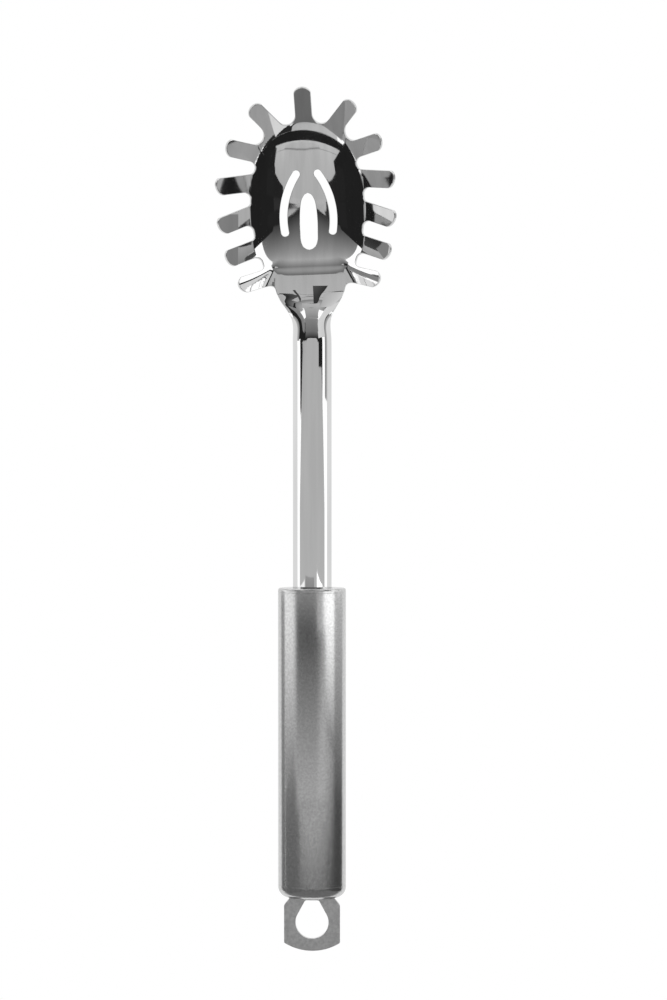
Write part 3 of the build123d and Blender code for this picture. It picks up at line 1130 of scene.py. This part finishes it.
@dataclass(frozen=True)
class GapShade:
    """Painted shade of a gap: the sheet is painted dark on one side of a station, over part of its width."""

    station_mm: float
    towards_head: bool
    middle_mm: float
    half_width_mm: float
    fade_mm: float = 0.2
    strength: float = 0.9

    def darkness(self, tree: NodeTree, place: Node) -> NodeSocket:
        """How dark each point is: a fade past the station times a fade out at both ends of the width.

        Args:
            tree: the material's node tree.
            place: its texture coordinates.

        Returns:
            The socket of the share of black.
        """
        axes = add_node(tree, "ShaderNodeSeparateXYZ", {"Vector": place.outputs["Object"]})
        fade = self.fade_mm if self.towards_head else -self.fade_mm
        lengthwise = {
            "Value": axes.outputs["Y"],
            "From Min": (self.station_mm - fade) * MM,
            "From Max": (self.station_mm + fade) * MM,
        }
        beyond = add_node(tree, "ShaderNodeMapRange", lengthwise)
        sideways = {0: axes.outputs["X"], 1: self.middle_mm * MM}
        offset = add_node(tree, "ShaderNodeMath", sideways, operation="SUBTRACT")
        across = add_node(tree, "ShaderNodeMath", {0: offset.outputs[0]}, operation="ABSOLUTE")
        widthwise = {
            "Value": across.outputs[0],
            "From Min": (self.half_width_mm + self.fade_mm) * MM,
            "From Max": (self.half_width_mm - self.fade_mm) * MM,
            "To Max": self.strength,
        }
        within = add_node(tree, "ShaderNodeMapRange", widthwise)
        both = {0: beyond.outputs["Result"], 1: within.outputs["Result"]}
        return add_node(tree, "ShaderNodeMath", both, operation="MULTIPLY").outputs[0]


@dataclass(frozen=True)
class Finish:
    """Bare stainless steel, with a surface made by polishing, brushing or blasting."""

    name: str
    colour: str
    roughness: float
    grain_mm: tuple[float, float, float]
    grain_depth_mm: float
    roughness_swing: float
    drift_colour: str
    drift_mm: tuple[float, float, float]
    # Painted shade of a gap between parts, drawn as a dark line on the sheet, or None.
    gap_shade: GapShade | None = None

    def tone(self, tree: NodeTree, place: Node) -> NodeSocket:
        """Colour that wanders between the two tones over the sizes of drift_mm, and a gap's painted shade.

        Args:
            tree: the material's node tree.
            place: its texture coordinates.

        Returns:
            The colour's socket.
        """
        cloud = pattern(tree, place, self.drift_mm, {"Detail": 2.0})
        spread = add_node(tree, "ShaderNodeMapRange", {"Value": cloud, **DRIFT_SPAN})
        ends = {"A": linear(self.colour), "B": linear(self.drift_colour)}
        colour = self.blend(tree, spread.outputs["Result"], ends)
        if self.gap_shade is None:
            return colour
        # The gap's painted shade, blended towards black over the colour.
        return self.blend(tree, self.gap_shade.darkness(tree, place), {"A": colour, "B": linear("#000000")})

    @staticmethod
    def blend(tree: NodeTree, share: NodeSocket, ends: dict) -> NodeSocket:
        """Colour mixed between two ends.

        Args:
            tree: the material's node tree.
            share: the socket of the second end's share.
            ends: the colours A and B, each a value or a socket.

        Returns:
            The mixed colour's socket.
        """
        mix = add_node(tree, "ShaderNodeMix", data_type="RGBA")
        tree.links.new(share, mix.inputs["Factor"])
        for socket in (s for s in mix.inputs if s.type == "RGBA"):
            value = ends[socket.name]
            if isinstance(value, NodeSocket):
                tree.links.new(value, socket)
            else:
                socket.default_value = value
        return next(s for s in mix.outputs if s.type == "RGBA")

    def make(self) -> Material:
        """Build the material: a metal whose roughness and height follow a stretched grain.

        Returns:
            The new material.
        """
        material = bpy.data.materials.new(self.name)
        tree = empty_tree(material)
        place = add_node(tree, "ShaderNodeTexCoord")
        grain = pattern(tree, place, self.grain_mm, {"Detail": 4.0, "Roughness": 0.6})
        shine = {
            "Value": grain,
            **GRAIN_SPAN,
            "To Min": self.roughness - self.roughness_swing,
            "To Max": self.roughness + self.roughness_swing,
        }
        swing = add_node(tree, "ShaderNodeMapRange", shine)
        relief = {"Height": grain, "Strength": 1.0, "Distance": self.grain_depth_mm * MM}
        bump = add_node(tree, "ShaderNodeBump", relief)
        metal = {
            "Base Color": self.tone(tree, place),
            "Metallic": 1.0,
            "Roughness": swing.outputs["Result"],
            "Normal": bump.outputs["Normal"],
        }
        shader = add_node(tree, "ShaderNodeBsdfPrincipled", metal)
        add_node(tree, "ShaderNodeOutputMaterial", {"Surface": shader.outputs["BSDF"]})
        return material


# Mirror-polished 18/8 stainless steel: sharp reflections, only a faint drift in the sheen. The dark line
# on the shank where it enters the front cap is painted shade of the gap there.
POLISHED = Finish(
    name="polished_stainless_steel",
    colour="#d8d8d8",
    roughness=0.04,
    grain_mm=(9.0, 9.0, 9.0),
    grain_depth_mm=0.0004,
    roughness_swing=0.02,
    drift_colour="#d0d0d0",
    drift_mm=(3.0, 60.0, 6.0),
    gap_shade=GapShade(station_mm=-24.9, towards_head=False, middle_mm=2.1, half_width_mm=3.4),
)
# Stainless tube brushed with a fine wheel: a soft broad shine under a fine mottled grain. Real brush marks
# are a few hundredths of a millimetre wide, too fine to show, so the grain is drawn as coarse as it needs to
# show.
BRUSHED = Finish(
    name="brushed_stainless_steel",
    colour="#cdcdcd",
    roughness=0.22,
    grain_mm=(0.5, 9.0, 0.5),
    grain_depth_mm=0.0002,
    roughness_swing=0.025,
    drift_colour="#c1c1c1",
    drift_mm=(0.75, 0.9, 0.75),
)
# Stainless plate with a satin, slightly blasted face, which spreads the light evenly. Its grain too is drawn
# as coarse as it needs to show. The dark line on the tab where it leaves the rear cap is painted shade of
# the gap there.
SATIN = Finish(
    name="satin_stainless_steel",
    colour="#e0e0e0",
    roughness=0.42,
    grain_mm=(0.6, 0.6, 0.6),
    grain_depth_mm=0.0003,
    roughness_swing=0.03,
    drift_colour="#cecece",
    drift_mm=(1.2, 1.2, 1.2),
    gap_shade=GapShade(station_mm=-144.0, towards_head=True, middle_mm=2.1, half_width_mm=7.5),
)


# studio


@dataclass(frozen=True)
class Card:
    """A glowing card or dark flag of the studio, seen only in reflections.

    Each corner is a place on the table's frame and the brightness there. The brightness blends between them.
    """

    name: str
    corners: tuple[tuple[float, float, float, float], ...]

    def build(self) -> None:
        """Add the card."""
        places = np.array(self.corners)
        mesh = bpy.data.meshes.new(self.name)
        mesh.from_pydata((places[:, :3] * MM).tolist(), [], [tuple(range(len(places)))])
        tone = mesh.color_attributes.new("tone", "FLOAT_COLOR", "POINT")
        tone.data.foreach_set("color", np.repeat(places[:, 3], 4))
        material = bpy.data.materials.new(self.name)
        tree = empty_tree(material)
        tones = add_node(tree, "ShaderNodeVertexColor", layer_name="tone")
        glow = add_node(tree, "ShaderNodeEmission", {"Color": tones.outputs["Color"], "Strength": 1.0})
        add_node(tree, "ShaderNodeOutputMaterial", {"Surface": glow.outputs["Emission"]})
        mesh.materials.append(material)
        card = bpy.data.objects.new(self.name, mesh)
        card.visible_camera = False
        card.visible_shadow = False
        card.visible_diffuse = False
        bpy.context.scene.collection.objects.link(card)


def even(tone: float, places: Sequence[tuple[float, ...]]) -> list[tuple[float, ...]]:
    """Corners that all have one brightness."""
    return [(*place, tone) for place in places]


def ceiling(name: str, corners: Sequence[tuple[float, float, float]], height: float = 500.0) -> Card:
    """Level card over the tool, from the places and brightnesses of its corners."""
    return Card(name, tuple((x, y, height, tone) for x, y, tone in corners))


def flank(name: str, x: float, y: Span, z: Span, tones: Sequence[float]) -> Card:
    """Upright card beside the tool: brightness at its rear foot, front foot, front top and rear top."""
    places = ((y[0], z[0]), (y[1], z[0]), (y[1], z[1]), (y[0], z[1]))
    return Card(name, tuple((x, along, up, tone) for (along, up), tone in zip(places, tones)))


def backdrop(name: str, y: float, x: Span, z: Span, tones: Sequence[float]) -> Card:
    """Upright card behind the tool: brightness at its left foot, right foot, right top and left top."""
    places = ((x[0], z[0]), (x[1], z[0]), (x[1], z[1]), (x[0], z[1]))
    return Card(name, tuple((across, y, up, tone) for (across, up), tone in zip(places, tones)))


CARDS = (
    # High over the tool and far behind it: the room's grey middle, its dark beams, its light and dark ends.
    ceiling("grey_panel", [
        (-1600, -232, 0.72), (1600, -232, 0.72), (1600, -60, 0.66),
        (560, 85, 0.6), (-640, 85, 0.6), (-1600, -60, 0.66),
    ]),
    ceiling("panel_front", [(-300, 80, 0.6), (300, 80, 0.6), (210, 165, 0.66), (-210, 165, 0.66)], 501),
    ceiling("panel_line", even(0.35, [(-500, -172), (500, -172), (500, -167), (-500, -167)]), 499),
    ceiling("dark_strip", even(0.02, [(-1600, -355), (1600, -355), (1600, -233), (-1600, -233)])),
    ceiling("rear_light", [(-900, -900, 0.7), (180, -900, 0.45), (180, -356, 0.65), (-600, -356, 0.75)]),
    ceiling("rear_dark", even(0.03, [(181, -900), (1600, -900), (1600, -356), (181, -356)])),
    ceiling("front_black", [(-1374, 40, 0.015), (866, 40, 0.015), (866, 230, 0.05), (-1374, 175, 0.03)], 520),
    ceiling("front_grey", [(-1374, 150, 0.02), (866, 205, 0.04), (143, 900, 0.6), (-266, 900, 0.6)], 521),
    ceiling("front_far", even(0.06, [(-266, 901), (143, 901), (400, 2500), (-500, 2500)]), 520),
    backdrop("rear_wall", -900, (-4200, 4200), (0, 500), (0.35, 0.35, 0.5, 0.5)),
    # Round the bowl, for the outer sides of the tines.
    flank("bowl_flag_left", -85, (80, 150), (32, 125), [0.02] * 4),
    flank("bowl_flag_right", 85, (92, 150), (32, 125), [0.02] * 4),
    flank("bowl_flag_high", 86, (60, 94), (75, 125), [0.02] * 4),
    flank("skirt_left", -300, (80, 300), (0, 90), (0.7, 0.6, 0.2, 0.27)),
    flank("skirt_right", 300, (50, 300), (0, 90), (0.7, 0.6, 0.2, 0.27)),
    # Beside and over the handle, for its bright and dark bands.
    flank("handle_light_right", 62, (-95, -29), (47, 130), (0.3, 2.2, 2.2, 0.3)),
    flank("handle_flag_right", 62, (-115, -29), (0, 46), (0.1, 0.75, 0.75, 0.1)),
    flank("handle_flag_right_rear", 62, (-170, -115), (0, 46), (0.05, 0.1, 0.1, 0.05)),
    flank("handle_light_left", -62, (-110, -29), (25, 80), (0.3, 1.4, 1.4, 0.3)),
    flank("handle_flag_left", -62, (-170, -29), (0, 24), (0.15, 0.4, 0.4, 0.15)),
    flank("handle_rear_left", -62, (-230, -111), (25, 120), (0.1, 0.22, 0.22, 0.1)),
    ceiling("handle_shade", [(-36, -118, 0.66), (12, -118, 0.66), (12, -46, 0.1), (-36, -46, 0.1)], 60),
    ceiling("handle_shade_front", [
        (-36, -45.9, 0.1), (12, -45.9, 0.1), (12, -25, 0.45), (-36, -25, 0.45),
    ], 60),
    ceiling("handle_shade_side", [(12.1, -118, 0.66), (34, -118, 0.7), (34, -46, 0.6), (12.1, -46, 0.1)], 60),
    # Close over the neck and the rear of the bowl, so low that the rest of the steel barely mirrors them.
    ceiling("neck_light", [(-17, 106, 0.66), (20, 106, 0.66), (20, 126, 0.6), (-17, 126, 0.6)], 60),
    flank("neck_fill", 26, (76, 108), (18, 45), [0.95] * 4),
    Card("tine_shade", (
        (-26, 94, 13, 0.3), (-26, 117, 13, 0.3), (-26, 117, 31, 0.3), (-26, 108, 40, 0.35),
        (-26, 88, 40, 0.35), (-26, 88, 31, 0.3), (-26, 94, 26, 0.3),
    )),
    ceiling("patch_line", even(0.3, [
        (-17, 108.0), (-12.8, 108.7), (-1.5, 110.2), (6.8, 110.0), (20, 108.2),
        (20, 109.0), (6.8, 110.8), (-1.5, 111.0), (-12.8, 109.5), (-17, 108.8),
    ]), 59),
    ceiling("patch_corner_right", even(0.024, [
        (45, 115), (45, 127), (18.9, 127), (18.9, 123.4), (24.3, 121.5), (30.6, 118.1), (31.5, 115),
    ]), 60),
    ceiling("patch_corner_left", even(0.024, [
        (-50, 127), (-50, 112.6), (-38.1, 112.6), (-33.7, 116.7),
        (-27.9, 119.5), (-23.4, 120.6), (-21.9, 119.6), (-21.9, 127),
    ]), 60),
    ceiling("neck_mark", [(2.0, 91.9, 0.12), (2.5, 85.1, 0.04), (4.0, 85.2, 0.04), (7.8, 91.9, 0.04)], 12),
    ceiling("neck_mark_left", even(0.08, [(-5.7, 90.1), (-3.0, 85.5), (-2.5, 86.2), (-4.7, 90.1)]), 12),
    ceiling("neck_fill_middle", [
        (-2.2, 85.2, 0.65), (-2.2, 82.2, 0.58), (5.0, 82.2, 0.58), (5.0, 85.2, 0.65),
    ], 12),
    ceiling("neck_fill_right", [
        (6.2, 87.2, 0.6), (12.9, 83.6, 0.9), (14.3, 86.8, 0.9),
        (14.0, 88.3, 0.8), (8.7, 89.6, 0.6), (6.2, 89.0, 0.6),
    ], 15),
    ceiling("neck_fill_low", [
        (-3.0, 88.0, 0.58), (-1.2, 79.2, 0.35), (5.6, 79.2, 0.35), (5.9, 87.9, 0.58),
    ], 15),
    ceiling("neck_shade", [(-6, 86.6, 0.35), (-4.4, 75.4, 0.22), (8.3, 75.8, 0.22), (8.6, 84.6, 0.35)], 20),
    # Behind the handle, for its rear dome.
    backdrop("dome_flag", -200, (-120, 120), (1, 200), [0.2] * 4),
)


@dataclass
class Studio:
    """White room, the cards that the polished steel mirrors, and the camera over the table."""

    frame: ToolFrame
    cards: tuple[Card, ...] = CARDS
    camera_distance: float = 900.0
    camera_roll: float = 2.03
    camera_tilt: float = 1.6
    camera_aim: Span = (8.2, 151.8)
    camera_range: float = 100000.0
    mm_per_pixel: float = 0.3824
    image_height: int = 1000
    sensor_mm: float = 24.0
    table_mm: float = 6000.0
    room_light: float = 1.6

    def camera(self) -> None:
        """Put the camera where the photograph was taken: overhead, leaning a little to the tool's right."""
        roll, tilt = math.radians(self.camera_roll), math.radians(self.camera_tilt)
        right = np.array([math.cos(roll), 0, -math.sin(roll)])
        up = np.array([-math.sin(tilt) * math.sin(roll), math.cos(tilt), -math.sin(tilt) * math.cos(roll)])
        back = np.cross(right, up)
        spot = right * self.camera_aim[0] + up * self.camera_aim[1] + back * self.camera_distance
        columns = np.stack([right, up, back]) @ self.frame.axes
        data = bpy.data.cameras.new("camera")
        data.sensor_fit = "VERTICAL"
        data.sensor_height = self.sensor_mm
        data.lens = self.sensor_mm * self.camera_distance / self.mm_per_pixel / self.image_height
        data.clip_end = self.camera_range * MM
        camera = bpy.data.objects.new("camera", data)
        matrix = Matrix(columns.T.tolist()).to_4x4()
        matrix.translation = Vector(((self.frame.origin + spot @ self.frame.axes) * MM).tolist())
        camera.matrix_world = matrix
        bpy.context.scene.collection.objects.link(camera)
        bpy.context.scene.camera = camera

    def table(self) -> None:
        """Plain white table, lit so evenly that nothing casts a shadow on it."""
        half = self.table_mm * MM / 2
        corners = [(-half, -half, 0), (half, -half, 0), (half, half, 0), (-half, half, 0)]
        mesh = bpy.data.meshes.new("table")
        mesh.from_pydata(corners, [], [(0, 1, 2, 3)])
        table = bpy.data.objects.new("table", mesh)
        bpy.context.scene.collection.objects.link(table)
        material = bpy.data.materials.new("white_table")
        tree = empty_tree(material)
        glow = add_node(tree, "ShaderNodeEmission", {"Color": linear("#ffffff"), "Strength": 1.0})
        add_node(tree, "ShaderNodeOutputMaterial", {"Surface": glow.outputs["Emission"]})
        mesh.materials.append(material)

    def surroundings(self) -> None:
        """White room."""
        world = bpy.data.worlds.new("room")
        bpy.context.scene.world = world
        tree = empty_tree(world)
        white = {"Color": linear("#ffffff"), "Strength": self.room_light}
        ground = add_node(tree, "ShaderNodeBackground", white)
        add_node(tree, "ShaderNodeOutputWorld", {"Surface": ground.outputs["Background"]})

    def build(self) -> None:
        """Set up the whole studio."""
        self.camera()
        self.table()
        self.surroundings()
        for card in self.cards:
            card.build()
        view = bpy.context.scene.view_settings
        view.view_transform = "Standard"
        view.look = "None"


def main() -> None:
    """Build the studio and every piece of the tool, in order."""
    logging.basicConfig(level=logging.INFO, format="%(message)s")
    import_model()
    frame = ToolFrame()
    Studio(frame).build()
    head, tab = PressedHead(frame), HangingTab(frame)
    handle = Handle(frame, head, tab)
    polished, brushed, satin = POLISHED.make(), BRUSHED.make(), SATIN.make()
    pieces = [
        (head.build(), polished, Slot.HEAD),
        (handle.tube(), brushed, Slot.HANDLE),
        (handle.front_cap(), brushed, Slot.HANDLE),
        (handle.rear_cap(), brushed, Slot.HANDLE),
        (tab.build(), satin, Slot.TAB),
    ]
    for piece, finish, slot in pieces:
        piece.data.materials.append(finish)
        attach(piece, "root")
        LOG.info("%s: %d faces", piece.name, len(piece.data.polygons))


if __name__ == "__main__":
    main()
